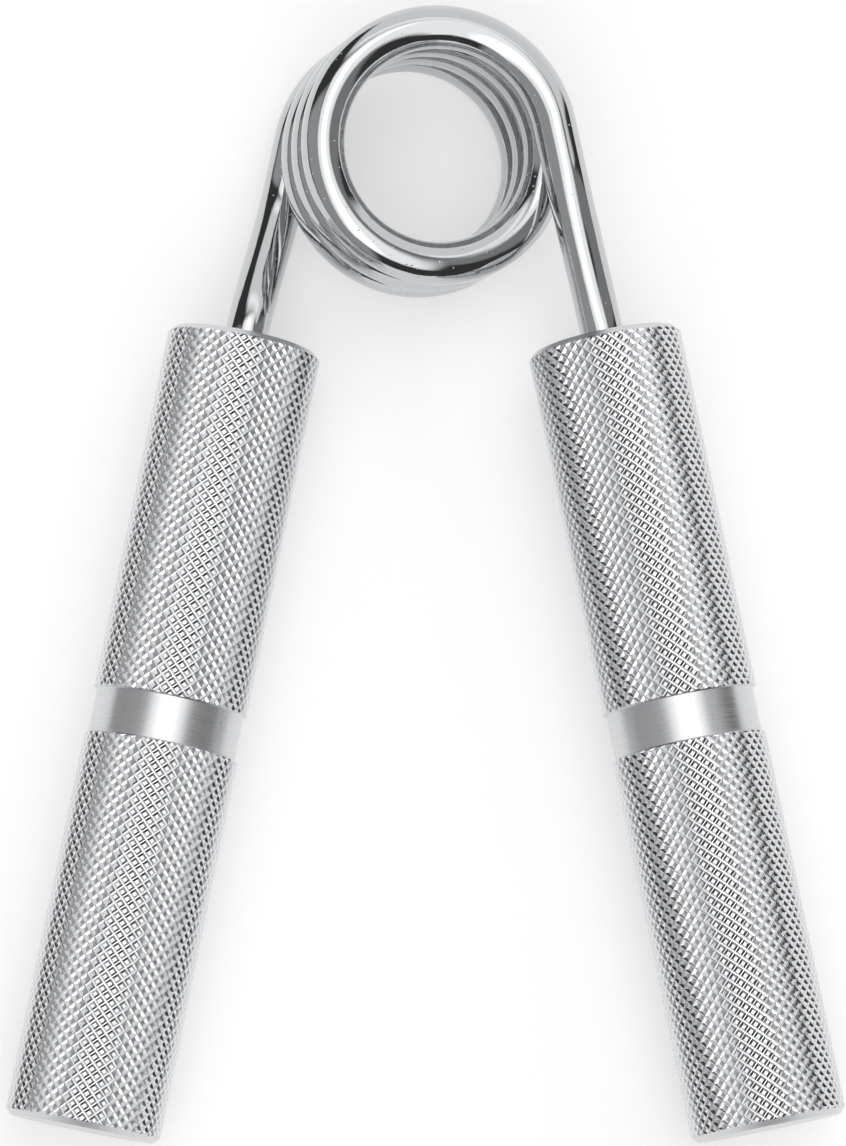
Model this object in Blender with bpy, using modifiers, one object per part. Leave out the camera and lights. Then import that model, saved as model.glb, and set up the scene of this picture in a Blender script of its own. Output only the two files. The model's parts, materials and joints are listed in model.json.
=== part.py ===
"""Hand grip strengthener: two aluminium handles on the ends of one heavy torsion spring.

The grip is modelled in a frame of its own: the origin is the middle of the spring's coil, +X runs
to the right handle, +Y away from the handles and +Z along the hinge line that the handles close
about. An empty then lays that frame on its back on the table, on the rear turn of the coil and on
the two lower handle ends, with the box of the whole grip centred on the world origin.
All lengths are in metres and all angles in radians.
"""
import math

import bmesh
import bpy
from mathutils import Vector

# Handles: one turned aluminium bar each, drilled from the top for the spring leg.
HANDLE_LENGTH = 0.1160
HANDLE_DIAMETER = 0.0225
END_CHAMFER = 0.0009
BAND_DIAMETER = 0.0214
BAND_WIDTH = 0.0064
BAND_CENTRE = 0.0570          # below the top face
BAND_SHOULDER = 0.0003        # run of the sloping shoulder at each side of the band
BORE_DEPTH = 0.0450
DRILL_POINT = math.radians(31)
TURNED_STEPS = 64

# Handles in the plane of the grip, each the mirror of the other.
HANDLE_LEAN = math.radians(11.4)
HANDLE_TOP_OUT = 0.0260
HANDLE_TOP_DOWN = 0.0277

# Spring: one length of round wire, three full turns and two legs.
WIRE_DIAMETER = 0.0063
COIL_RADIUS = 0.0170          # to the middle of the wire
COIL_PITCH = 0.0065
FULL_TURNS = 3
COIL_YAW = math.radians(14)
COIL_NOD = math.radians(2.5)
STRAIGHT_RUN = 0.0055         # of a leg beside the next turn, before it bends to the middle plane
LEG_CLEARANCE = 0.0010        # between a leg's end and the start of the drill point
POINTS_PER_TURN = 24
BEND_POINTS = 14
COIL_STUB = 0.0005            # straight end of the coil, which squares its cut face to the leg
WIRE_SIDES_SETTING = 2

GAP = 0.0003                  # between pieces that touch

WIRE_RADIUS = WIRE_DIAMETER / 2
HANDLE_RADIUS = HANDLE_DIAMETER / 2
BORE_RADIUS = WIRE_RADIUS + GAP
COIL_SWEEP = 2 * math.pi * FULL_TURNS + math.pi - 2 * HANDLE_LEAN
LEFT = -1
RIGHT = 1


def handle_top(side):
    """Centre of the top face of the handle on one side, in the grip's frame."""
    return Vector((side * HANDLE_TOP_OUT, -HANDLE_TOP_DOWN, 0))


def handle_down(side):
    """Direction from the top of the handle on one side to its lower end."""
    return Vector((side * math.sin(HANDLE_LEAN), -math.cos(HANDLE_LEAN), 0))


def coil_to_grip(vector):
    """Turn a vector from the coil's own axes to the grip's: first the yaw, then the nod."""
    yawed = Vector((vector.x * math.cos(COIL_YAW) + vector.z * math.sin(COIL_YAW),
                    vector.y,
                    vector.z * math.cos(COIL_YAW) - vector.x * math.sin(COIL_YAW)))
    return Vector((yawed.x,
                   yawed.y * math.cos(COIL_NOD) - yawed.z * math.sin(COIL_NOD),
                   yawed.y * math.sin(COIL_NOD) + yawed.z * math.cos(COIL_NOD)))


def coil_point(turned):
    """Point on the wire's centre line after it has turned by an angle from the right leg."""
    angle = HANDLE_LEAN + turned
    rise = COIL_PITCH * (COIL_SWEEP / 2 - turned) / (2 * math.pi)
    return coil_to_grip(Vector((COIL_RADIUS * math.cos(angle), COIL_RADIUS * math.sin(angle), rise)))


def coil_tangent(turned):
    """Direction in which the coil's centre line runs on after it has turned by an angle."""
    angle = HANDLE_LEAN + turned
    slope = COIL_PITCH / (2 * math.pi)
    along = Vector((-COIL_RADIUS * math.sin(angle), COIL_RADIUS * math.cos(angle), -slope))
    return coil_to_grip(along.normalized())


def coil_path():
    """Centre line of the coil, from the right leg at the front to the left leg at the back."""
    count = round(POINTS_PER_TURN * COIL_SWEEP / (2 * math.pi))
    turns = [coil_point(COIL_SWEEP * step / count) for step in range(count + 1)]
    first = turns[0] - COIL_STUB * coil_tangent(0)
    last = turns[-1] + COIL_STUB * coil_tangent(COIL_SWEEP)
    return [first] + turns + [last]


def bend_point(start, start_run, end, end_run, share):
    """Point on a smooth bend between two straight runs, at a share of the way from 0 to 1."""
    square, cube = share ** 2, share ** 3
    return ((2 * cube - 3 * square + 1) * start + (cube - 2 * square + share) * start_run
            + (3 * square - 2 * cube) * end + (cube - square) * end_run)


def leg_path(side):
    """Centre line of one leg, from the coil to its end in the handle's bore."""
    turned = 0.0 if side == RIGHT else COIL_SWEEP
    leaving = -side * coil_tangent(turned)
    start = coil_point(turned) + (COIL_STUB + GAP) * leaving
    bend_start = start + STRAIGHT_RUN * leaving
    top = handle_top(side)
    down = handle_down(side)
    reach = (top - bend_start).length
    bend = [bend_point(bend_start, reach * leaving, top, reach * down, step / BEND_POINTS)
            for step in range(BEND_POINTS + 1)]
    return [start] + bend + [top + (BORE_DEPTH - LEG_CLEARANCE) * down]


def metal(name, colour, roughness):
    """A bare metal surface."""
    material = bpy.data.materials.new(name)
    material.use_nodes = True
    shader = material.node_tree.nodes["Principled BSDF"]
    shader.inputs["Base Color"].default_value = (*colour, 1)
    shader.inputs["Metallic"].default_value = 1
    shader.inputs["Roughness"].default_value = roughness
    return material


def handle_profile():
    """Half section of a handle, as radius and height above its lower end.

    It runs from the bottom of the drilled bore up its wall, over the top face, down the outside
    and in along the lower face.
    """
    floor = HANDLE_LENGTH - BORE_DEPTH
    band_top = HANDLE_LENGTH - BAND_CENTRE + BAND_WIDTH / 2
    band_bottom = band_top - BAND_WIDTH
    return [
        (0, floor - BORE_RADIUS * math.tan(DRILL_POINT)),
        (BORE_RADIUS, floor),
        (BORE_RADIUS, HANDLE_LENGTH),
        (HANDLE_RADIUS - END_CHAMFER, HANDLE_LENGTH),
        (HANDLE_RADIUS, HANDLE_LENGTH - END_CHAMFER),
        (HANDLE_RADIUS, band_top + BAND_SHOULDER),
        (BAND_DIAMETER / 2, band_top),
        (BAND_DIAMETER / 2, band_bottom),
        (HANDLE_RADIUS, band_bottom - BAND_SHOULDER),
        (HANDLE_RADIUS, END_CHAMFER),
        (HANDLE_RADIUS - END_CHAMFER, 0),
        (0, 0),
    ]


def turned_mesh(name, profile):
    """Mesh of an open half section, ready for a Screw modifier."""
    mesh = bpy.data.meshes.new(name)
    section = bmesh.new()
    points = [section.verts.new((radius, 0, height)) for radius, height in profile]
    for upper, lower in zip(points, points[1:]):
        section.edges.new((upper, lower))
    section.to_mesh(mesh)
    section.free()
    return mesh


def add_handle(name, side, parent, collection, material):
    """Turned handle, with its lower end's centre as the object's origin."""
    handle = bpy.data.objects.new(name, turned_mesh(name, handle_profile()))
    handle.data.materials.append(material)
    collection.objects.link(handle)
    screw = handle.modifiers.new("turned", "SCREW")
    screw.axis = "Z"
    screw.steps = TURNED_STEPS
    screw.render_steps = TURNED_STEPS
    screw.use_merge_vertices = True
    screw.merge_threshold = 0.00001
    screw.use_smooth_shade = False
    down = handle_down(side)
    handle.parent = parent
    handle.location = handle_top(side) + HANDLE_LENGTH * down
    handle.rotation_mode = "QUATERNION"
    handle.rotation_quaternion = Vector((0, 0, 1)).rotation_difference(-down)
    return handle


def add_wire(name, path, parent, collection, material):
    """Length of spring wire along a path in its parent's frame."""
    curve = bpy.data.curves.new(name, "CURVE")
    curve.dimensions = "3D"
    curve.bevel_depth = WIRE_RADIUS
    curve.bevel_resolution = WIRE_SIDES_SETTING
    curve.use_fill_caps = True
    spline = curve.splines.new("POLY")
    spline.points.add(len(path) - 1)
    for point, place in zip(spline.points, path):
        point.co = (*place, 1)
    curve.materials.append(material)
    wire = bpy.data.objects.new(name, curve)
    wire.parent = parent
    collection.objects.link(wire)
    return wire


def rest_tilt(paths):
    """Angle by which the grip's plane rises from its handle ends to its coil when it lies down.

    The table touches the underside of the handles' lower rims and the lowest place on the wire,
    which is taken as a ball around each point of its centre line.
    """
    rim = handle_top(RIGHT) + (HANDLE_LENGTH - END_CHAMFER) * handle_down(RIGHT)
    angles = []
    for place in (point for path in paths for point in path):
        forward = place.y - rim.y
        below = -HANDLE_RADIUS - place.z
        distance = math.hypot(forward, below)
        angles.append(math.atan2(below, forward) + math.asin(WIRE_RADIUS / distance))
    return max(angles)


def world_corners(pieces):
    """Lowest and highest corners of the box round all the finished pieces."""
    bpy.context.view_layer.update()
    graph = bpy.context.evaluated_depsgraph_get()
    places = []
    for piece in pieces:
        shown = piece.evaluated_get(graph)
        mesh = shown.to_mesh()
        places += [shown.matrix_world @ vertex.co for vertex in mesh.vertices]
        shown.to_mesh_clear()
    low = Vector([min(place[axis] for place in places) for axis in range(3)])
    high = Vector([max(place[axis] for place in places) for axis in range(3)])
    return low, high


def main():
    """Clear the scene, build the five pieces and lay the grip on the table."""
    for old in list(bpy.data.objects):
        bpy.data.objects.remove(old, do_unlink=True)

    parts = bpy.data.collections.new("hand_grip_strengthener")
    bpy.context.scene.collection.children.link(parts)

    grip = bpy.data.objects.new("grip_plane", None)
    squeeze = bpy.data.objects.new("squeeze_axis", None)
    squeeze.parent = grip
    parts.objects.link(grip)
    parts.objects.link(squeeze)

    aluminium = metal("knurled aluminium", (0.78, 0.78, 0.79), 0.35)
    aluminium_right = metal("knurled aluminium right", (0.78, 0.78, 0.79), 0.35)
    chrome = metal("chrome plated coil", (0.76, 0.77, 0.79), 0.06)
    chrome_left = metal("chrome plated left leg", (0.76, 0.77, 0.79), 0.06)
    chrome_right = metal("chrome plated right leg", (0.76, 0.77, 0.79), 0.06)

    pieces = [
        add_handle("left_handle", LEFT, grip, parts, aluminium),
        add_handle("right_handle", RIGHT, squeeze, parts, aluminium_right),
        add_wire("spring_coil", coil_path(), grip, parts, chrome),
        add_wire("spring_left_leg", leg_path(LEFT), grip, parts, chrome_left),
        add_wire("spring_right_leg", leg_path(RIGHT), squeeze, parts, chrome_right),
    ]

    grip.rotation_euler.x = rest_tilt([coil_path(), leg_path(LEFT), leg_path(RIGHT)])
    low, high = world_corners(pieces)
    grip.location = (-(low.x + high.x) / 2, -(low.y + high.y) / 2, -low.z)


main()
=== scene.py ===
"""Looks of a hand grip strengthener: two knurled aluminium handles on one chrome plated spring.

The grip lies flat on a pale table and is seen from above, a little from the side of the handles'
lower ends. Everything is in metres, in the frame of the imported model. The grip's own plane is read
from the hinge between its two halves: the origin is the middle of the coil, +X runs to the right
handle, +Y away from the handles and +Z up along the hinge line.
"""

import json
import logging
import math
from dataclasses import dataclass
from enum import Enum
from typing import Any

import bmesh
import bpy
from mathutils import Matrix, Vector


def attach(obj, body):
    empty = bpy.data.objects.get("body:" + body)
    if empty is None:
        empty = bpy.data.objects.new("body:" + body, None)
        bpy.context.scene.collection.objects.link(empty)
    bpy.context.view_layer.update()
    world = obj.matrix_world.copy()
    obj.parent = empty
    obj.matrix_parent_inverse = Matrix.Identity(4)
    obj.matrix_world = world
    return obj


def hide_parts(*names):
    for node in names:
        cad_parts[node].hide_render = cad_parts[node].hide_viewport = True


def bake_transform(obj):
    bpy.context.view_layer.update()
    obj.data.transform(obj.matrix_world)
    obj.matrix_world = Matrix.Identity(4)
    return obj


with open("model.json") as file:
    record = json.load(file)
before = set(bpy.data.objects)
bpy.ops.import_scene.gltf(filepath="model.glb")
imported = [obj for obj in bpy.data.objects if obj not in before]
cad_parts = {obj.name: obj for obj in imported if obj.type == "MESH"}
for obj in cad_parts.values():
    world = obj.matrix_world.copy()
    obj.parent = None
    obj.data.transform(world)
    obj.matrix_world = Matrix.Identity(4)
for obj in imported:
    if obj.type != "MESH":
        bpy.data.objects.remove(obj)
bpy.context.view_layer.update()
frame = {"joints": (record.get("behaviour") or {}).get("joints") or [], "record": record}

log = logging.getLogger("hand_grip")

MM = 0.001
# Points nearer than this are one point, and on the knurl nearer than this share of its pitch.
WELD = 0.001 * MM
WELD_SHARE = 0.01


class Side(Enum):
    """The two halves of the grip, as the sign of their place along +X."""

    LEFT = -1
    RIGHT = 1


# --- Small helpers ------------------------------------------------------------------------------


def linear(hex_colour: str) -> tuple[float, float, float, float]:
    """Turn an sRGB hex colour into linear values.

    Args:
        hex_colour: Six hex digits after a hash sign.

    Returns:
        Red, green, blue and an alpha of 1.
    """
    channels = [int(hex_colour[place:place + 2], 16) / 255 for place in (1, 3, 5)]
    curve = [c / 12.92 if c <= 0.04045 else ((c + 0.055) / 1.055) ** 2.4 for c in channels]
    return (curve[0], curve[1], curve[2], 1.0)


def add_node(tree: bpy.types.NodeTree, kind: str, inputs: dict[Any, Any] | None = None,
             **settings: Any) -> bpy.types.Node:
    """Add a node to a tree, with its settings, its values and its links.

    Args:
        tree: Tree that the node goes in.
        kind: The node's type name.
        inputs: Value or output socket for each input, by the input's name or number.
        **settings: The node's own properties.

    Returns:
        The new node.
    """
    node = tree.nodes.new(kind)
    for key, value in settings.items():
        setattr(node, key, value)
    for key, value in (inputs or {}).items():
        if isinstance(value, bpy.types.NodeSocket):
            tree.links.new(value, node.inputs[key])
        else:
            node.inputs[key].default_value = value
    return node


def new_shape_tree(name: str, sizes: dict[str, str]) -> tuple[Any, Any, Any]:
    """Start a geometry tree with a geometry input and output and named inputs for its sizes.

    Args:
        name: The tree's name.
        sizes: Socket type of each named input.

    Returns:
        The tree, its input node and its output node.
    """
    tree = bpy.data.node_groups.new(name, "GeometryNodeTree")
    tree.interface.new_socket("Geometry", in_out="INPUT", socket_type="NodeSocketGeometry")
    for size, kind in sizes.items():
        tree.interface.new_socket(size, in_out="INPUT", socket_type=kind)
    tree.interface.new_socket("Geometry", in_out="OUTPUT", socket_type="NodeSocketGeometry")
    return tree, tree.nodes.new("NodeGroupInput"), tree.nodes.new("NodeGroupOutput")


def grow(name: str, source: bpy.types.ID, tree: bpy.types.NodeTree,
         values: dict[str, Any]) -> bpy.types.Mesh:
    """Run a geometry tree on a mesh or curve and keep the result as a plain mesh.

    Args:
        name: Name of the new mesh.
        source: Mesh or curve that the tree starts from.
        tree: The geometry tree.
        values: Value of each of the tree's named inputs.

    Returns:
        The finished mesh.
    """
    holder = bpy.data.objects.new(name + "_source", source)
    bpy.context.scene.collection.objects.link(holder)
    modifier = holder.modifiers.new("shape", "NODES")
    modifier.node_group = tree
    for socket in tree.interface.items_tree:
        if socket.in_out == "INPUT" and socket.name in values:
            modifier[socket.identifier] = values[socket.name]
    bpy.context.view_layer.update()
    graph = bpy.context.evaluated_depsgraph_get()
    mesh = bpy.data.meshes.new_from_object(holder.evaluated_get(graph))
    mesh.name = name
    bpy.data.objects.remove(holder, do_unlink=True)
    return mesh


def add_piece(name: str, mesh: bpy.types.Mesh) -> bpy.types.Object:
    """Put a mesh into the scene as an object at the origin.

    Args:
        name: Name of the object.
        mesh: Its mesh, already in the frame's own place.

    Returns:
        The object.
    """
    piece = bpy.data.objects.new(name, mesh)
    bpy.context.scene.collection.objects.link(piece)
    return piece


# --- The grip's own plane -----------------------------------------------------------------------


def grip_plane(joint: dict[str, Any]) -> Matrix:
    """Find the grip's own plane from the hinge between its halves.

    Args:
        joint: The hinge as the frame gives it. Its axis points down through the coil.

    Returns:
        The matrix that takes a place in the grip's plane to its place in the frame.
    """
    up = -Vector(joint["axis"]).normalized()
    right = Vector((1, 0, 0))
    plane = Matrix((right, up.cross(right), up)).transposed().to_4x4()
    plane.translation = Vector(joint["pos_m"])
    return plane


# --- Finishes -----------------------------------------------------------------------------------


@dataclass(frozen=True)
class KnurledAluminium:
    """Bare aluminium 6061 bar with a rolled diamond knurl.

    The knurling wheels burnish the tops of the ridges and press the floors of the pits flat, and
    both shine. The walls between them are metal that the wheels drag, and duller. Their colour
    is painted darker halfway down as painted shade in the pits, so that each pit reads as a pale
    spot in a dark frame between bright lines.
    """

    burnished: str = "#E6E7E9"
    # Painted shade: the pit walls' darker colour stands in for the shade inside the pits.
    wall_in_painted_shade: str = "#CBCDD0"
    burnished_roughness: float = 0.13
    dragged_roughness: float = 0.2
    # The marks of the wheels' teeth: their size, how far they shift the mix between the burnished
    # colour and the painted wall shade, and their depth.
    mark_mm: float = 0.35
    mark_shift: float = 0.6
    mark_depth_mm: float = 0.025
    mark_strength: float = 0.5

    def make(self, bar: "TurnedBar") -> bpy.types.Material:
        """Make the finish on the coordinates of the bar, whose Z is its axis.

        Args:
            bar: Sizes of the bar, for the depth of the pits.

        Returns:
            The material.
        """
        material, tree, shader, place = start_metal("knurled aluminium", bar.place_attribute)
        parts = add_node(tree, "ShaderNodeSeparateXYZ", {0: place})
        flat = add_node(tree, "ShaderNodeCombineXYZ", {0: parts.outputs[0], 1: parts.outputs[1]})
        radius = add_node(tree, "ShaderNodeVectorMath", {0: flat.outputs[0]}, operation="LENGTH")
        height = add_node(tree, "ShaderNodeMapRange", {
            0: radius.outputs["Value"], 1: bar.ridge_radius - bar.pit_depth,
            2: bar.ridge_radius, 3: -1.0, 4: 1.0})
        # Painted shade mask: 0 halfway down the pit walls, 1 on the floors and the ridge tops.
        wall_shade_mask = add_node(tree, "ShaderNodeMath", {0: height.outputs[0]}, operation="ABSOLUTE")
        marks = add_node(tree, "ShaderNodeTexNoise", {
            "Vector": place, "Scale": 1 / (self.mark_mm * MM), "Detail": 3.0, "Roughness": 0.6})
        worn = add_node(tree, "ShaderNodeMath", {
            0: marks.outputs["Fac"], 1: self.mark_shift, 2: -self.mark_shift / 2},
            operation="MULTIPLY_ADD")
        shine = add_node(tree, "ShaderNodeMath", {
            0: wall_shade_mask.outputs[0], 1: worn.outputs[0]}, operation="ADD", use_clamp=True)
        # Painted shade in the pits: the colour runs from the walls' darker colour to the burnished
        # one, shifted at random by the marks; the roughness follows the same mix.
        colour = add_node(tree, "ShaderNodeMix", {
            0: shine.outputs[0], 6: linear(self.wall_in_painted_shade), 7: linear(self.burnished)},
            data_type="RGBA")
        rough = add_node(tree, "ShaderNodeMapRange", {
            0: shine.outputs[0], 3: self.dragged_roughness, 4: self.burnished_roughness})
        tree.links.new(colour.outputs[2], shader.inputs["Base Color"])
        tree.links.new(rough.outputs[0], shader.inputs["Roughness"])
        bump = add_node(tree, "ShaderNodeBump", {
            "Strength": self.mark_strength, "Distance": self.mark_depth_mm * MM,
            "Height": marks.outputs["Fac"]})
        tree.links.new(bump.outputs[0], shader.inputs["Normal"])
        return material


@dataclass(frozen=True)
class TurnedAluminium:
    """The same bar where a lathe tool has faced it: the band, the chamfers and the end faces.

    The tool's feed leaves fine rings round the axis, which stretch each highlight a little.
    """

    colour: str = "#D4D5D7"
    roughness: float = 0.27
    smoother: float = 0.05
    rougher: float = 0.1
    ring_mm: float = 0.16
    ring_depth_mm: float = 0.01
    ring_strength: float = 0.35

    def make(self, bar: "TurnedBar") -> bpy.types.Material:
        """Make the finish on the coordinates of the bar, whose Z is its axis.

        Args:
            bar: The bar that it goes on.

        Returns:
            The material.
        """
        material, tree, shader, place = start_metal("turned aluminium", bar.place_attribute)
        parts = add_node(tree, "ShaderNodeSeparateXYZ", {0: place})
        flat = add_node(tree, "ShaderNodeCombineXYZ", {0: parts.outputs[0], 1: parts.outputs[1]})
        radius = add_node(tree, "ShaderNodeVectorMath", {0: flat.outputs[0]}, operation="LENGTH")
        section = add_node(tree, "ShaderNodeCombineXYZ", {
            0: radius.outputs["Value"], 2: parts.outputs[2]})
        rings = add_node(tree, "ShaderNodeTexNoise", {
            "Vector": section.outputs[0], "Scale": 1 / (self.ring_mm * MM), "Detail": 4.0,
            "Roughness": 0.65})
        rough = add_node(tree, "ShaderNodeMapRange", {
            0: rings.outputs["Fac"], 1: 0.3, 2: 0.7,
            3: self.roughness - self.smoother, 4: self.roughness + self.rougher})
        bump = add_node(tree, "ShaderNodeBump", {
            "Strength": self.ring_strength, "Distance": self.ring_depth_mm * MM,
            "Height": rings.outputs["Fac"]})
        shader.inputs["Base Color"].default_value = linear(self.colour)
        tree.links.new(rough.outputs[0], shader.inputs["Roughness"])
        tree.links.new(bump.outputs[0], shader.inputs["Normal"])
        return material


@dataclass(frozen=True)
class ChromePlate:
    """Decorative chrome over nickel on drawn spring wire.

    The plate is a near perfect mirror with a faint cool cast. Drawing leaves shallow lines along
    the wire and the plate a few pits, which break up the edges of its reflections and dot them
    with specks. Both are drawn coarser than life, where they are too fine to show.
    """

    colour: str = "#C6C8CA"
    roughness: float = 0.035
    roughest: float = 2.5
    # Lines along the wire: how far apart, how long they are drawn out and how deep.
    line_mm: float = 0.5
    stretch: float = 0.05
    line_depth_mm: float = 0.02
    line_strength: float = 0.5
    # Slow waves in the plate, and their height next to the lines'.
    waves_per_metre: float = 180.0
    wave_height: float = 3.0
    # Pits: how far apart, their radius as a share of that, and their depth next to the lines'.
    pit_mm: float = 1.3
    pit_share: float = 0.11
    pit_depth: float = 6.0
    place_attribute: str = "wire_place"

    def make(self) -> bpy.types.Material:
        """Make the finish, on the coordinates of the wire as it was before it was bent.

        Returns:
            The material.
        """
        material, tree, shader, place = start_metal("chrome plate", self.place_attribute)
        shader.inputs["Base Color"].default_value = linear(self.colour)
        drawn = add_node(tree, "ShaderNodeMapping", {
            "Vector": place, "Scale": (1.0, 1.0, self.stretch)})
        lines = add_node(tree, "ShaderNodeTexNoise", {
            "Vector": drawn.outputs[0], "Scale": 1 / (self.line_mm * MM), "Detail": 5.0,
            "Roughness": 0.6})
        waves = add_node(tree, "ShaderNodeTexNoise", {
            "Vector": place, "Scale": self.waves_per_metre, "Detail": 1.0})
        height = add_node(tree, "ShaderNodeMath", {
            0: waves.outputs["Fac"], 1: self.wave_height, 2: lines.outputs["Fac"]},
            operation="MULTIPLY_ADD")
        cells = add_node(tree, "ShaderNodeTexVoronoi", {
            "Vector": place, "Scale": 1 / (self.pit_mm * MM)})
        pits = add_node(tree, "ShaderNodeMapRange", {
            0: cells.outputs["Distance"], 1: 0.0, 2: self.pit_share, 3: -self.pit_depth, 4: 0.0})
        marked = add_node(tree, "ShaderNodeMath", {
            0: height.outputs[0], 1: pits.outputs[0]}, operation="ADD")
        bump = add_node(tree, "ShaderNodeBump", {
            "Strength": self.line_strength, "Distance": self.line_depth_mm * MM,
            "Height": marked.outputs[0]})
        rough = add_node(tree, "ShaderNodeMapRange", {
            0: lines.outputs["Fac"], 1: 0.35, 2: 0.75,
            3: self.roughness, 4: self.roughest * self.roughness})
        tree.links.new(bump.outputs[0], shader.inputs["Normal"])
        tree.links.new(rough.outputs[0], shader.inputs["Roughness"])
        return material


def start_metal(name: str, place_attribute: str) -> tuple[Any, Any, Any, Any]:
    """Start a bare metal whose patterns follow the piece's own place attribute.

    Args:
        name: Name of the material.
        place_attribute: Attribute with each point's place on the piece as it was made.

    Returns:
        The material, its tree, its shader and the socket with the place on the piece.
    """
    material = bpy.data.materials.new(name)
    material.use_nodes = True
    tree = material.node_tree
    shader = tree.nodes["Principled BSDF"]
    shader.inputs["Metallic"].default_value = 1.0
    place = add_node(tree, "ShaderNodeAttribute", attribute_name=place_attribute)
    return material, tree, shader, place.outputs["Vector"]


# --- The handles --------------------------------------------------------------------------------


@dataclass(frozen=True)
class TurnedBar:
    """Sizes of one handle, along and across its axis, with the lower end's centre at its origin.

    The shares are of half a pit: how far in from its edge the ridge and its shoulder reach, and
    how far out from its middle the floor does.
    """

    length: float = 116.0 * MM
    ridge_radius: float = 11.25 * MM
    pit_depth: float = 0.27 * MM
    pits_round: int = 40
    row_pitch: float = 1.748 * MM
    ridge_share: float = 0.08
    shoulder_share: float = 0.18
    shoulder_drop: float = 0.035 * MM
    floor_share: float = 0.36
    chamfer: float = 0.9 * MM
    clearance: float = 0.5 * MM
    bore_lip: float = 0.15 * MM
    band_radius: float = 10.7 * MM
    band_width: float = 6.4 * MM
    band_centre_down: float = 57.0 * MM
    band_shoulder: float = 0.3 * MM
    bore_radius: float = 3.2 * MM
    bore_depth: float = 45.0 * MM
    drill_point: float = math.radians(31)
    turned_steps: int = 180
    place_attribute: str = "bar_place"

    def section(self) -> list[tuple[float, float]]:
        """List the half section of the blank, as radius and height.

        Where the knurl shows, the blank stands clear of its ridges, with the chamfers and the
        band's shoulders drawn on at their own slopes.

        Returns:
            The corners from the floor of the bore, over the top, down the outside to the middle
            of the lower face.
        """
        floor = self.length - self.bore_depth
        band_top = self.length - self.band_centre_down + self.band_width / 2
        band_bottom = band_top - self.band_width
        inside = self.ridge_radius - self.chamfer
        outside = self.ridge_radius + self.clearance
        chamfer = self.chamfer + self.clearance
        shoulder = (self.band_shoulder * (outside - self.band_radius)
                    / (self.ridge_radius - self.band_radius))
        return [
            (0.0, floor - self.bore_radius * math.tan(self.drill_point)),
            (self.bore_radius, floor),
            (self.bore_radius, self.length - self.bore_lip),
            (self.bore_radius + self.bore_lip, self.length),
            (inside, self.length),
            (outside, self.length - chamfer),
            (outside, band_top + shoulder),
            (self.band_radius, band_top),
            (self.band_radius, band_bottom),
            (outside, band_bottom - shoulder),
            (outside, chamfer),
            (inside, 0.0),
            (0.0, 0.0),
        ]


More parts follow.
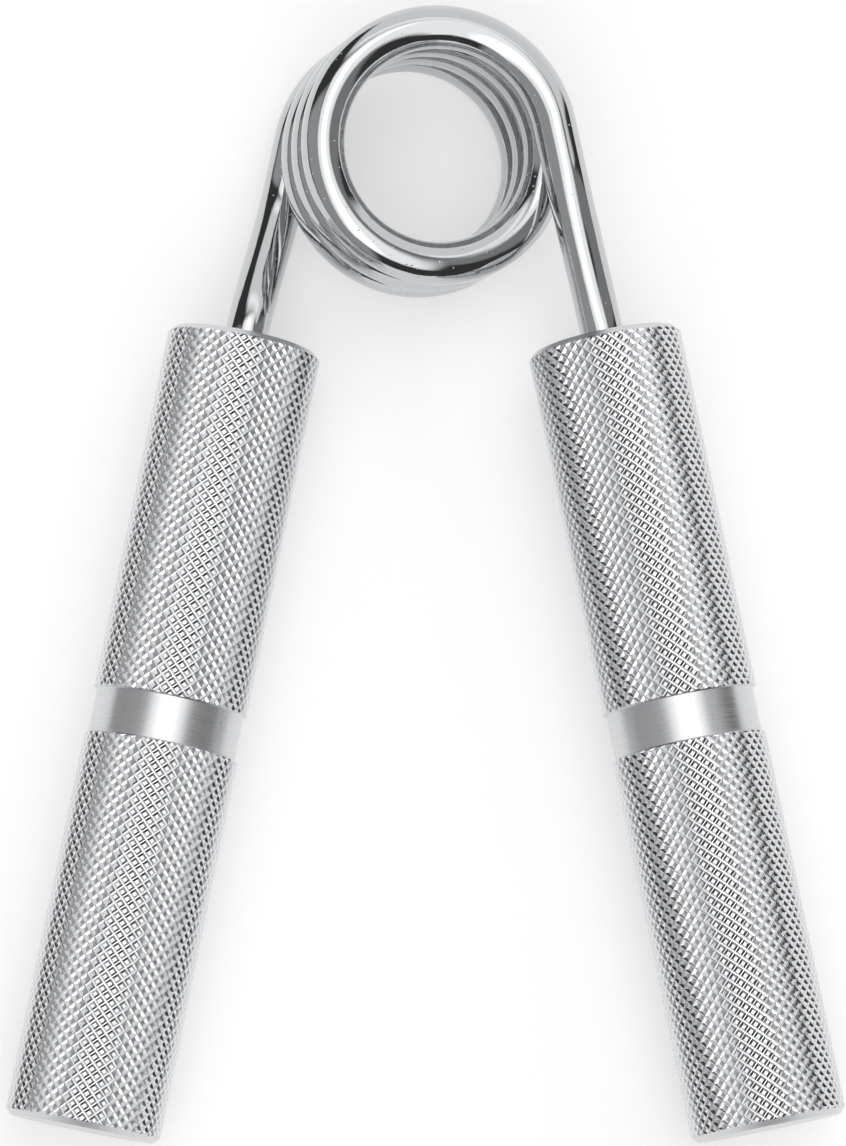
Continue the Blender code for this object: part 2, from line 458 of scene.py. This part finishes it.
def knurl_tree() -> bpy.types.NodeTree:
    """Build the tree that rolls a sleeve of diamond pits between crossing ridges.

    One pit is stacked down from square rings: the top of the ridges round it, their rounded
    shoulders and its walls, with a flat floor. It is set out on two staggered grids, and the
    sheet is then wrapped round the axis.

    Returns:
        The geometry tree.
    """
    tree, given, out = new_shape_tree("diamond knurl", {
        "Ridge Radius": "NodeSocketFloat", "Pit Depth": "NodeSocketFloat",
        "Ridge Share": "NodeSocketFloat", "Shoulder Share": "NodeSocketFloat",
        "Shoulder Drop": "NodeSocketFloat", "Floor Share": "NodeSocketFloat",
        "Pits Round": "NodeSocketInt", "Row Pitch": "NodeSocketFloat",
        "Length": "NodeSocketFloat", "Material": "NodeSocketMaterial"})
    size = given.outputs

    def work(operation: str, first: Any, second: Any = 0.0, third: Any = 0.0) -> Any:
        """Add a sum on one to three values.

        Args:
            operation: The sum.
            first: First value or socket.
            second: Second value or socket.
            third: Third value or socket.

        Returns:
            The socket with the result.
        """
        node = add_node(tree, "ShaderNodeMath", {0: first, 1: second, 2: third},
                        operation=operation)
        return node.outputs[0]

    def lifted(shape: Any, height: Any) -> Any:
        """Lift a mesh.

        Args:
            shape: Socket with the mesh.
            height: How far up, as a value or socket.

        Returns:
            The socket with the lifted mesh.
        """
        lift = add_node(tree, "ShaderNodeCombineXYZ", {2: height})
        return add_node(tree, "GeometryNodeTransform", {
            0: shape, "Translation": lift.outputs[0]}).outputs[0]

    def ring(outer: Any, inner: Any, high: Any, low: Any) -> Any:
        """Add one square ring of the pit.

        Args:
            outer: Half size of its outer edge.
            inner: Half size of its inner edge.
            high: Height of its outer edge.
            low: Height of its inner edge.

        Returns:
            The socket with the ring.
        """
        cone = add_node(tree, "GeometryNodeMeshCone", {
            "Vertices": 4, "Side Segments": 1, "Radius Top": outer, "Radius Bottom": inner,
            "Depth": work("SUBTRACT", high, low)}, fill_type="NONE")
        return lifted(cone.outputs["Mesh"], low)

    def join(*shapes: Any) -> Any:
        """Join meshes.

        Args:
            *shapes: Sockets with the meshes.

        Returns:
            The socket with them all.
        """
        joined = tree.nodes.new("GeometryNodeJoinGeometry")
        for shape in shapes:
            tree.links.new(shape, joined.inputs[0])
        return joined.outputs[0]

    pitch = work("DIVIDE", work("MULTIPLY", size["Ridge Radius"], 2 * math.pi),
                 size["Pits Round"])
    half = work("MULTIPLY", pitch, 0.5)
    ridge = work("MULTIPLY", half, work("SUBTRACT", 1.0, size["Ridge Share"]))
    shoulder = work("MULTIPLY", half, work("SUBTRACT", 1.0, size["Shoulder Share"]))
    floor = work("MULTIPLY", half, size["Floor Share"])
    below = work("SUBTRACT", 0.0, size["Shoulder Drop"])
    deep = work("SUBTRACT", 0.0, size["Pit Depth"])
    bottom = add_node(tree, "GeometryNodeMeshCircle", {"Vertices": 4, "Radius": floor},
                      fill_type="NGON").outputs["Mesh"]
    pit = join(ring(half, ridge, 0.0, 0.0), ring(ridge, shoulder, 0.0, below),
               ring(shoulder, floor, below, deep), lifted(bottom, deep))

    rows = work("ADD", work("CEIL", work("DIVIDE", size["Length"], size["Row Pitch"])), 2.0)
    sheet = add_node(tree, "GeometryNodeMeshGrid", {
        "Size X": work("MULTIPLY", work("SUBTRACT", size["Pits Round"], 1.0), pitch),
        "Size Y": work("MULTIPLY", work("SUBTRACT", rows, 1.0), pitch),
        "Vertices X": size["Pits Round"], "Vertices Y": rows}).outputs["Mesh"]
    step = add_node(tree, "ShaderNodeCombineXYZ", {0: half, 1: half})
    between = add_node(tree, "GeometryNodeTransform", {
        0: sheet, "Translation": step.outputs[0]}).outputs[0]
    spread = add_node(tree, "GeometryNodeInstanceOnPoints", {
        "Points": join(sheet, between), "Instance": pit})
    real = add_node(tree, "GeometryNodeRealizeInstances", {0: spread.outputs[0]})

    at = add_node(tree, "ShaderNodeSeparateXYZ", {
        0: add_node(tree, "GeometryNodeInputPosition").outputs[0]})
    turn = work("DIVIDE", at.outputs[0], size["Ridge Radius"])
    radius = work("ADD", at.outputs[2], size["Ridge Radius"])
    stretch = work("DIVIDE", size["Row Pitch"], pitch)
    wrapped = add_node(tree, "ShaderNodeCombineXYZ", {
        0: work("MULTIPLY", radius, work("COSINE", turn)),
        1: work("MULTIPLY", radius, work("SINE", turn)),
        2: work("MULTIPLY_ADD", at.outputs[1], stretch, work("MULTIPLY", size["Length"], 0.5))})
    sleeve = add_node(tree, "GeometryNodeSetPosition", {
        0: real.outputs[0], "Position": wrapped.outputs[0]})
    welded = add_node(tree, "GeometryNodeMergeByDistance", {
        0: sleeve.outputs[0], "Distance": work("MULTIPLY", pitch, WELD_SHARE)})
    dressed = add_node(tree, "GeometryNodeSetMaterial", {
        0: welded.outputs[0], "Material": size["Material"]})
    tree.links.new(dressed.outputs[0], out.inputs[0])
    return tree


@dataclass
class HandleMaker:
    """Makes the one bar that both handles are cut from."""

    bar: TurnedBar = TurnedBar()
    knurled: KnurledAluminium = KnurledAluminium()
    turned: TurnedAluminium = TurnedAluminium()
    sharp_from: float = math.radians(20)

    def sleeve(self) -> bpy.types.Mesh:
        """Roll the knurl and close its ragged ends, which lie past the ends of the bar.

        Returns:
            The sleeve as a closed mesh.
        """
        mesh = grow("knurl", bpy.data.meshes.new("seed"), knurl_tree(), {
            "Ridge Radius": self.bar.ridge_radius, "Pit Depth": self.bar.pit_depth,
            "Ridge Share": self.bar.ridge_share, "Shoulder Share": self.bar.shoulder_share,
            "Shoulder Drop": self.bar.shoulder_drop, "Floor Share": self.bar.floor_share,
            "Pits Round": self.bar.pits_round, "Row Pitch": self.bar.row_pitch,
            "Length": self.bar.length, "Material": self.knurled.make(self.bar)})
        body = bmesh.new()
        body.from_mesh(mesh)
        rims = [edge for edge in body.edges if edge.is_boundary]
        bmesh.ops.holes_fill(body, edges=rims, sides=0)
        bmesh.ops.recalc_face_normals(body, faces=body.faces)
        body.to_mesh(mesh)
        body.free()
        return mesh

    def blank(self) -> bpy.types.Mesh:
        """Turn the blank: chamfers, band, bore and plain ends.

        Returns:
            The blank as a closed mesh.
        """
        body = bmesh.new()
        points = [body.verts.new((radius, 0, height)) for radius, height in self.bar.section()]
        edges = [body.edges.new(pair) for pair in zip(points, points[1:])]
        bmesh.ops.spin(body, geom=points + edges, cent=(0, 0, 0), axis=(0, 0, 1),
                       angle=2 * math.pi, steps=self.bar.turned_steps, use_merge=True)
        bmesh.ops.remove_doubles(body, verts=body.verts, dist=WELD)
        bmesh.ops.recalc_face_normals(body, faces=body.faces)
        mesh = bpy.data.meshes.new("blank")
        body.to_mesh(mesh)
        body.free()
        mesh.materials.append(self.turned.make(self.bar))
        return mesh

    def make(self) -> bpy.types.Mesh:
        """Cut the knurled sleeve to the shape of the blank.

        Returns:
            The finished bar, with the middle of its lower face at the origin and its axis on Z.
        """
        sleeve = add_piece("sleeve", self.sleeve())
        blank = add_piece("blank", self.blank())
        cut = sleeve.modifiers.new("cut", "BOOLEAN")
        cut.operation = "INTERSECT"
        cut.solver = "EXACT"
        cut.material_mode = "TRANSFER"
        cut.object = blank
        bpy.context.view_layer.update()
        graph = bpy.context.evaluated_depsgraph_get()
        mesh = bpy.data.meshes.new_from_object(sleeve.evaluated_get(graph))
        for tool in (sleeve, blank):
            bpy.data.objects.remove(tool, do_unlink=True)
        places = [value for vertex in mesh.vertices for value in vertex.co]
        kept = mesh.attributes.new(self.bar.place_attribute, "FLOAT_VECTOR", "POINT")
        kept.data.foreach_set("vector", places)
        mesh.shade_smooth()
        mesh.set_sharp_from_angle(angle=self.sharp_from)
        return mesh


@dataclass
class Handle:
    """One knurled handle, riding on its half of the grip."""

    side: Side

    @property
    def word(self) -> str:
        """The side in lower case."""
        return self.side.name.lower()

    def placement(self) -> Matrix:
        """Find the handle's place from the mount on its lower end face.

        Returns:
            The matrix whose origin is the middle of that face and whose Z runs up the bar.
        """
        mount = next(m for m in frame["record"]["mounts"] if m["name"] == f"{self.word}_end_face")
        up = -Vector(mount["axis"]).normalized()
        place = Vector((0, 0, 1)).rotation_difference(up).to_matrix().to_4x4()
        place.translation = Vector(mount["pos_m"])
        return place

    def build(self, bar: bpy.types.Mesh) -> bpy.types.Object:
        """Set a copy of the bar in place.

        Args:
            bar: The finished bar.

        Returns:
            The finished piece.
        """
        mesh = bar.copy()
        mesh.transform(self.placement())
        piece = add_piece(f"{self.word}_knurled_handle", mesh)
        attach(piece, f"{self.word}_half")
        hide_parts(f"{self.word}_handle")
        return piece


# --- The spring ---------------------------------------------------------------------------------


def wire_tree() -> bpy.types.NodeTree:
    """Build the tree that draws a round wire along a line.

    It also stores where each point lay on the straight wire, as two places across it and one
    along it, for the marks that drawing leaves.

    Returns:
        The geometry tree.
    """
    tree, given, out = new_shape_tree("round wire", {
        "Wire Radius": "NodeSocketFloat", "Sides": "NodeSocketInt", "Step": "NodeSocketFloat",
        "Place Name": "NodeSocketString", "Material": "NodeSocketMaterial"})
    size = given.outputs
    line = add_node(tree, "GeometryNodeResampleCurve", {
        "Curve": size["Geometry"], "Length": size["Step"]}, mode="LENGTH")
    along = add_node(tree, "GeometryNodeCaptureAttribute", {0: line.outputs[0]}, domain="POINT")
    along.capture_items.new("FLOAT", "Along")
    tree.links.new(add_node(tree, "GeometryNodeSplineParameter").outputs["Length"],
                   along.inputs["Along"])
    ring = add_node(tree, "GeometryNodeCurvePrimitiveCircle", {
        "Resolution": size["Sides"], "Radius": size["Wire Radius"]}, mode="RADIUS")
    across = add_node(tree, "GeometryNodeCaptureAttribute", {0: ring.outputs[0]}, domain="POINT")
    across.capture_items.new("VECTOR", "Across")
    tree.links.new(add_node(tree, "GeometryNodeInputPosition").outputs[0],
                   across.inputs["Across"])
    drawn = add_node(tree, "GeometryNodeCurveToMesh", {
        "Curve": along.outputs[0], "Profile Curve": across.outputs[0], "Fill Caps": True})
    lift = add_node(tree, "ShaderNodeCombineXYZ", {2: along.outputs["Along"]})
    place = add_node(tree, "ShaderNodeVectorMath", {
        0: across.outputs["Across"], 1: lift.outputs[0]}, operation="ADD")
    stored = add_node(tree, "GeometryNodeStoreNamedAttribute", {
        "Geometry": drawn.outputs[0], "Name": size["Place Name"], "Value": place.outputs[0]},
        data_type="FLOAT_VECTOR", domain="POINT")
    real = add_node(tree, "GeometryNodeRealizeInstances", {0: stored.outputs[0]})
    dressed = add_node(tree, "GeometryNodeSetMaterial", {
        0: real.outputs[0], "Material": size["Material"]})
    tree.links.new(dressed.outputs[0], out.inputs[0])
    return tree


@dataclass
class TorsionSpring:
    """One length of wire: the right leg, the coil from front to back, and the left leg."""

    plane: Matrix
    wire_radius: float = 3.15 * MM
    coil_radius: float = 17.0 * MM
    pitch: float = 6.5 * MM
    full_turns: int = 3
    lean: float = math.radians(11.4)
    yaw: float = math.radians(14)
    nod: float = math.radians(2.5)
    top_out: float = 26.0 * MM
    top_down: float = 27.7 * MM
    straight_run: float = 6.3 * MM
    leg_in_bore: float = 44.0 * MM
    points_per_turn: int = 180
    bend_points: int = 120
    sides: int = 48
    step: float = 0.45 * MM
    sharp_from: float = math.radians(40)
    finish: ChromePlate = ChromePlate()

    @property
    def sweep(self) -> float:
        """The angle that the wire turns through between its legs."""
        return 2 * math.pi * self.full_turns + math.pi - 2 * self.lean

    def turned(self, across: float, up: float, rise: float) -> Vector:
        """Turn a vector from the coil's own axes to the grip's plane: first yaw, then nod.

        Args:
            across: Its length across the coil, to the right.
            up: Its length across the coil, away from the handles.
            rise: Its length along the coil's axis.

        Returns:
            The vector in the grip's plane.
        """
        return (Matrix.Rotation(self.nod, 3, "X") @ Matrix.Rotation(self.yaw, 3, "Y")
                @ Vector((across, up, rise)))

    def coil_point(self, angle: float) -> Vector:
        """Find the wire's middle at a place on the coil.

        Args:
            angle: How far it has turned from the right leg.

        Returns:
            The point in the grip's plane.
        """
        rise = self.pitch * (self.sweep / 2 - angle) / (2 * math.pi)
        turn = self.lean + angle
        return self.turned(self.coil_radius * math.cos(turn), self.coil_radius * math.sin(turn),
                           rise)

    def coil_run(self, angle: float) -> Vector:
        """Find the direction that the wire runs in at a place on the coil.

        Args:
            angle: How far it has turned from the right leg.

        Returns:
            The direction, one long.
        """
        turn = self.lean + angle
        return self.turned(-self.coil_radius * math.sin(turn), self.coil_radius * math.cos(turn),
                           -self.pitch / (2 * math.pi)).normalized()

    def leg(self, side: Side) -> list[Vector]:
        """List the middle of one leg, from the coil to its end in the bore.

        The wire leaves the coil straight, then bends in one smooth curve to the line of the bore.

        Args:
            side: Which leg.

        Returns:
            The points, in the grip's plane.
        """
        sign = side.value
        angle = 0.0 if side is Side.RIGHT else self.sweep
        leaving = -sign * self.coil_run(angle)
        start = self.coil_point(angle) + self.straight_run * leaving
        top = Vector((sign * self.top_out, -self.top_down, 0))
        down = Vector((sign * math.sin(self.lean), -math.cos(self.lean), 0))
        reach = (top - start).length
        points = []
        for count in range(self.bend_points + 1):
            share = count / self.bend_points
            square, cube = share ** 2, share ** 3
            points.append((2 * cube - 3 * square + 1) * start
                          + (cube - 2 * square + share) * reach * leaving
                          + (3 * square - 2 * cube) * top + (cube - square) * reach * down)
        return points + [top + self.leg_in_bore * down]

    def middle_line(self) -> list[Vector]:
        """List the middle of the whole wire, from the right leg's end to the left leg's.

        Returns:
            The points, in the frame.
        """
        count = round(self.points_per_turn * self.sweep / (2 * math.pi))
        coil = [self.coil_point(self.sweep * step / count) for step in range(count + 1)]
        whole = self.leg(Side.RIGHT)[::-1] + coil + self.leg(Side.LEFT)
        return [self.plane @ point for point in whole]

    def build(self, tree: bpy.types.NodeTree) -> bpy.types.Object:
        """Draw the wire between the two halves.

        Args:
            tree: The wire tree.

        Returns:
            The finished piece.
        """
        line = self.middle_line()
        curve = bpy.data.curves.new("spring line", "CURVE")
        curve.dimensions = "3D"
        spline = curve.splines.new("POLY")
        spline.points.add(len(line) - 1)
        for point, place in zip(spline.points, line):
            point.co = (*place, 1.0)
        mesh = grow("torsion_spring", curve, tree, {
            "Wire Radius": self.wire_radius, "Sides": self.sides, "Step": self.step,
            "Place Name": self.finish.place_attribute,
            "Material": self.finish.make()})
        mesh.shade_smooth()
        mesh.set_sharp_from_angle(angle=self.sharp_from)
        spring = add_piece("torsion_spring", mesh)
        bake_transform(spring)
        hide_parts("spring_coil", "spring_left_leg", "spring_right_leg")
        return spring


# --- The studio ---------------------------------------------------------------------------------


@dataclass(frozen=True)
class SoftBox:
    """One soft box, as a rectangle seen from the grip.

    Its middle lies at an angle from straight up, towards a side of the table given as an angle
    from +X. The half sizes are slopes from its middle, so a half size of 1 reaches 45 degrees.
    """

    from_zenith: float
    towards: float
    half_width: float
    half_height: float
    edge: float
    strength: float
    spin: float = 0.0

    def shine(self, tree: bpy.types.NodeTree, way: Any) -> Any:
        """Add the box to the room.

        Args:
            tree: The room's shader tree.
            way: Socket with the direction looked in.

        Returns:
            The socket with the box's light in that direction.
        """
        turn = (Matrix.Rotation(math.radians(self.towards - 90), 3, "Z")
                @ Matrix.Rotation(-math.radians(self.from_zenith), 3, "X")
                @ Matrix.Rotation(math.radians(self.spin), 3, "Z"))
        across, up, facing = (
            add_node(tree, "ShaderNodeVectorMath", {0: way, 1: axis},
                     operation="DOT_PRODUCT").outputs["Value"]
            for axis in turn.transposed())
        ahead = add_node(tree, "ShaderNodeMath", {0: facing, 1: 0.001}, operation="MAXIMUM")
        light: Any = self.strength
        for offset, half in ((across, self.half_width), (up, self.half_height)):
            slope = add_node(tree, "ShaderNodeMath", {0: offset, 1: ahead.outputs[0]},
                             operation="DIVIDE")
            size = add_node(tree, "ShaderNodeMath", {0: slope.outputs[0]}, operation="ABSOLUTE")
            inside = add_node(tree, "ShaderNodeMapRange", {
                0: size.outputs[0], 1: half - self.edge, 2: half + self.edge, 3: 1.0, 4: 0.0},
                interpolation_type="SMOOTHSTEP")
            light = add_node(tree, "ShaderNodeMath", {0: inside.outputs[0], 1: light},
                             operation="MULTIPLY").outputs[0]
        return light


SOFT_BOXES = (
    # Overhead, longer towards the lower ends of the handles, with a brighter strip down it.
    SoftBox(from_zenith=13.4, towards=282.0, half_width=0.60, half_height=0.90, edge=0.14,
            strength=1.35, spin=-14.0),
    SoftBox(from_zenith=13.0, towards=274.0, half_width=0.30, half_height=0.86, edge=0.20,
            strength=2.1, spin=-14.0),
    # The pale wall beyond the coil, and the bright top of it.
    SoftBox(from_zenith=64.0, towards=68.0, half_width=0.85, half_height=0.62, edge=0.10,
            strength=0.95),
    SoftBox(from_zenith=38.0, towards=72.0, half_width=0.55, half_height=0.14, edge=0.14,
            strength=1.35),
    # A dimmer sheet on the left, its far end turned away.
    SoftBox(from_zenith=56.0, towards=188.0, half_width=0.60, half_height=0.58, edge=0.12,
            strength=0.42),
    # Dim walls on the right and at the lower left.
    SoftBox(from_zenith=62.0, towards=356.0, half_width=0.30, half_height=0.60, edge=0.10,
            strength=0.28),
    SoftBox(from_zenith=66.0, towards=230.0, half_width=0.50, half_height=0.40, edge=0.12,
            strength=0.40),
)


@dataclass
class Studio:
    """Pale table, soft overhead light and a camera over the handles' lower half."""

    plane: Matrix
    table_size: float = 8.0
    table_colour: str = "#DADADA"
    table_roughness: float = 0.9
    table_glow: float = 0.38
    room: float = 0.05
    room_seen: float = 0.95
    distance: float = 851.0 * MM
    pitch: float = math.radians(7.83)
    roll: float = math.radians(0.08)
    aim_down: float = 60.0 * MM
    aim_shift: tuple[float, float] = (0.245 * MM, 1.55 * MM)
    lens: float = 185.3

    def add_table(self) -> bpy.types.Object:
        """Lay the table under the grip.

        Returns:
            The table.
        """
        mesh = bpy.data.meshes.new("table")
        sheet = bmesh.new()
        bmesh.ops.create_grid(sheet, x_segments=1, y_segments=1, size=self.table_size / 2)
        sheet.to_mesh(mesh)
        sheet.free()
        # Cast opal acrylic, lit a little from below: an even pale sheet with soft shadows.
        material = bpy.data.materials.new("lit opal acrylic table")
        material.use_nodes = True
        shader = material.node_tree.nodes["Principled BSDF"]
        shader.inputs["Base Color"].default_value = linear(self.table_colour)
        shader.inputs["Roughness"].default_value = self.table_roughness
        shader.inputs["Emission Color"].default_value = linear("#FFFFFF")
        shader.inputs["Emission Strength"].default_value = self.table_glow
        mesh.materials.append(material)
        table = add_piece("table", mesh)
        return table

    def add_camera(self) -> bpy.types.Object:
        """Set the camera over the grip, tipped towards the lower ends of the handles.

        Returns:
            The camera.
        """
        data = bpy.data.cameras.new("camera")
        data.lens = self.lens
        data.clip_start = 0.01
        data.clip_end = 20.0
        camera = bpy.data.objects.new("camera", data)
        turn = Matrix.Rotation(self.pitch, 4, "X") @ Matrix.Rotation(-self.roll, 4, "Z")
        step = turn @ Vector((-self.aim_shift[0], -self.aim_shift[1], self.distance))
        local = Matrix.Translation(Vector((0, -self.aim_down, 0)) + step) @ turn
        camera.matrix_world = self.plane @ local
        bpy.context.scene.collection.objects.link(camera)
        bpy.context.scene.camera = camera
        return camera

    def add_light(self) -> None:
        """Light the scene with soft boxes in a dim room; the room itself looks pale."""
        world = bpy.data.worlds.new("studio")
        bpy.context.scene.world = world
        world.use_nodes = True
        tree = world.node_tree
        background = tree.nodes["Background"]
        background.inputs["Color"].default_value = linear("#FFFFFF")
        way = add_node(tree, "ShaderNodeTexCoord").outputs["Generated"]
        light: Any = self.room
        for box in SOFT_BOXES:
            light = add_node(tree, "ShaderNodeMath", {0: light, 1: box.shine(tree, way)},
                             operation="MAXIMUM").outputs[0]
        seen = add_node(tree, "ShaderNodeMix", {
            0: add_node(tree, "ShaderNodeLightPath").outputs["Is Camera Ray"],
            2: light, 3: self.room_seen})
        tree.links.new(seen.outputs[0], background.inputs["Strength"])


def main() -> None:
    """Set the studio, then build the spring and the handles."""
    logging.basicConfig(level=logging.INFO, format="%(message)s")
    bpy.context.scene.view_settings.view_transform = "Standard"
    plane = grip_plane(frame["joints"][0])
    studio = Studio(plane)
    studio.add_camera()
    studio.add_table()
    studio.add_light()
    pieces = [TorsionSpring(plane).build(wire_tree())]
    bar = HandleMaker().make()
    pieces += [Handle(side).build(bar) for side in Side]
    for piece in pieces:
        log.info("%s: %d faces", piece.name, len(piece.data.polygons))


if __name__ == "__main__":
    main()
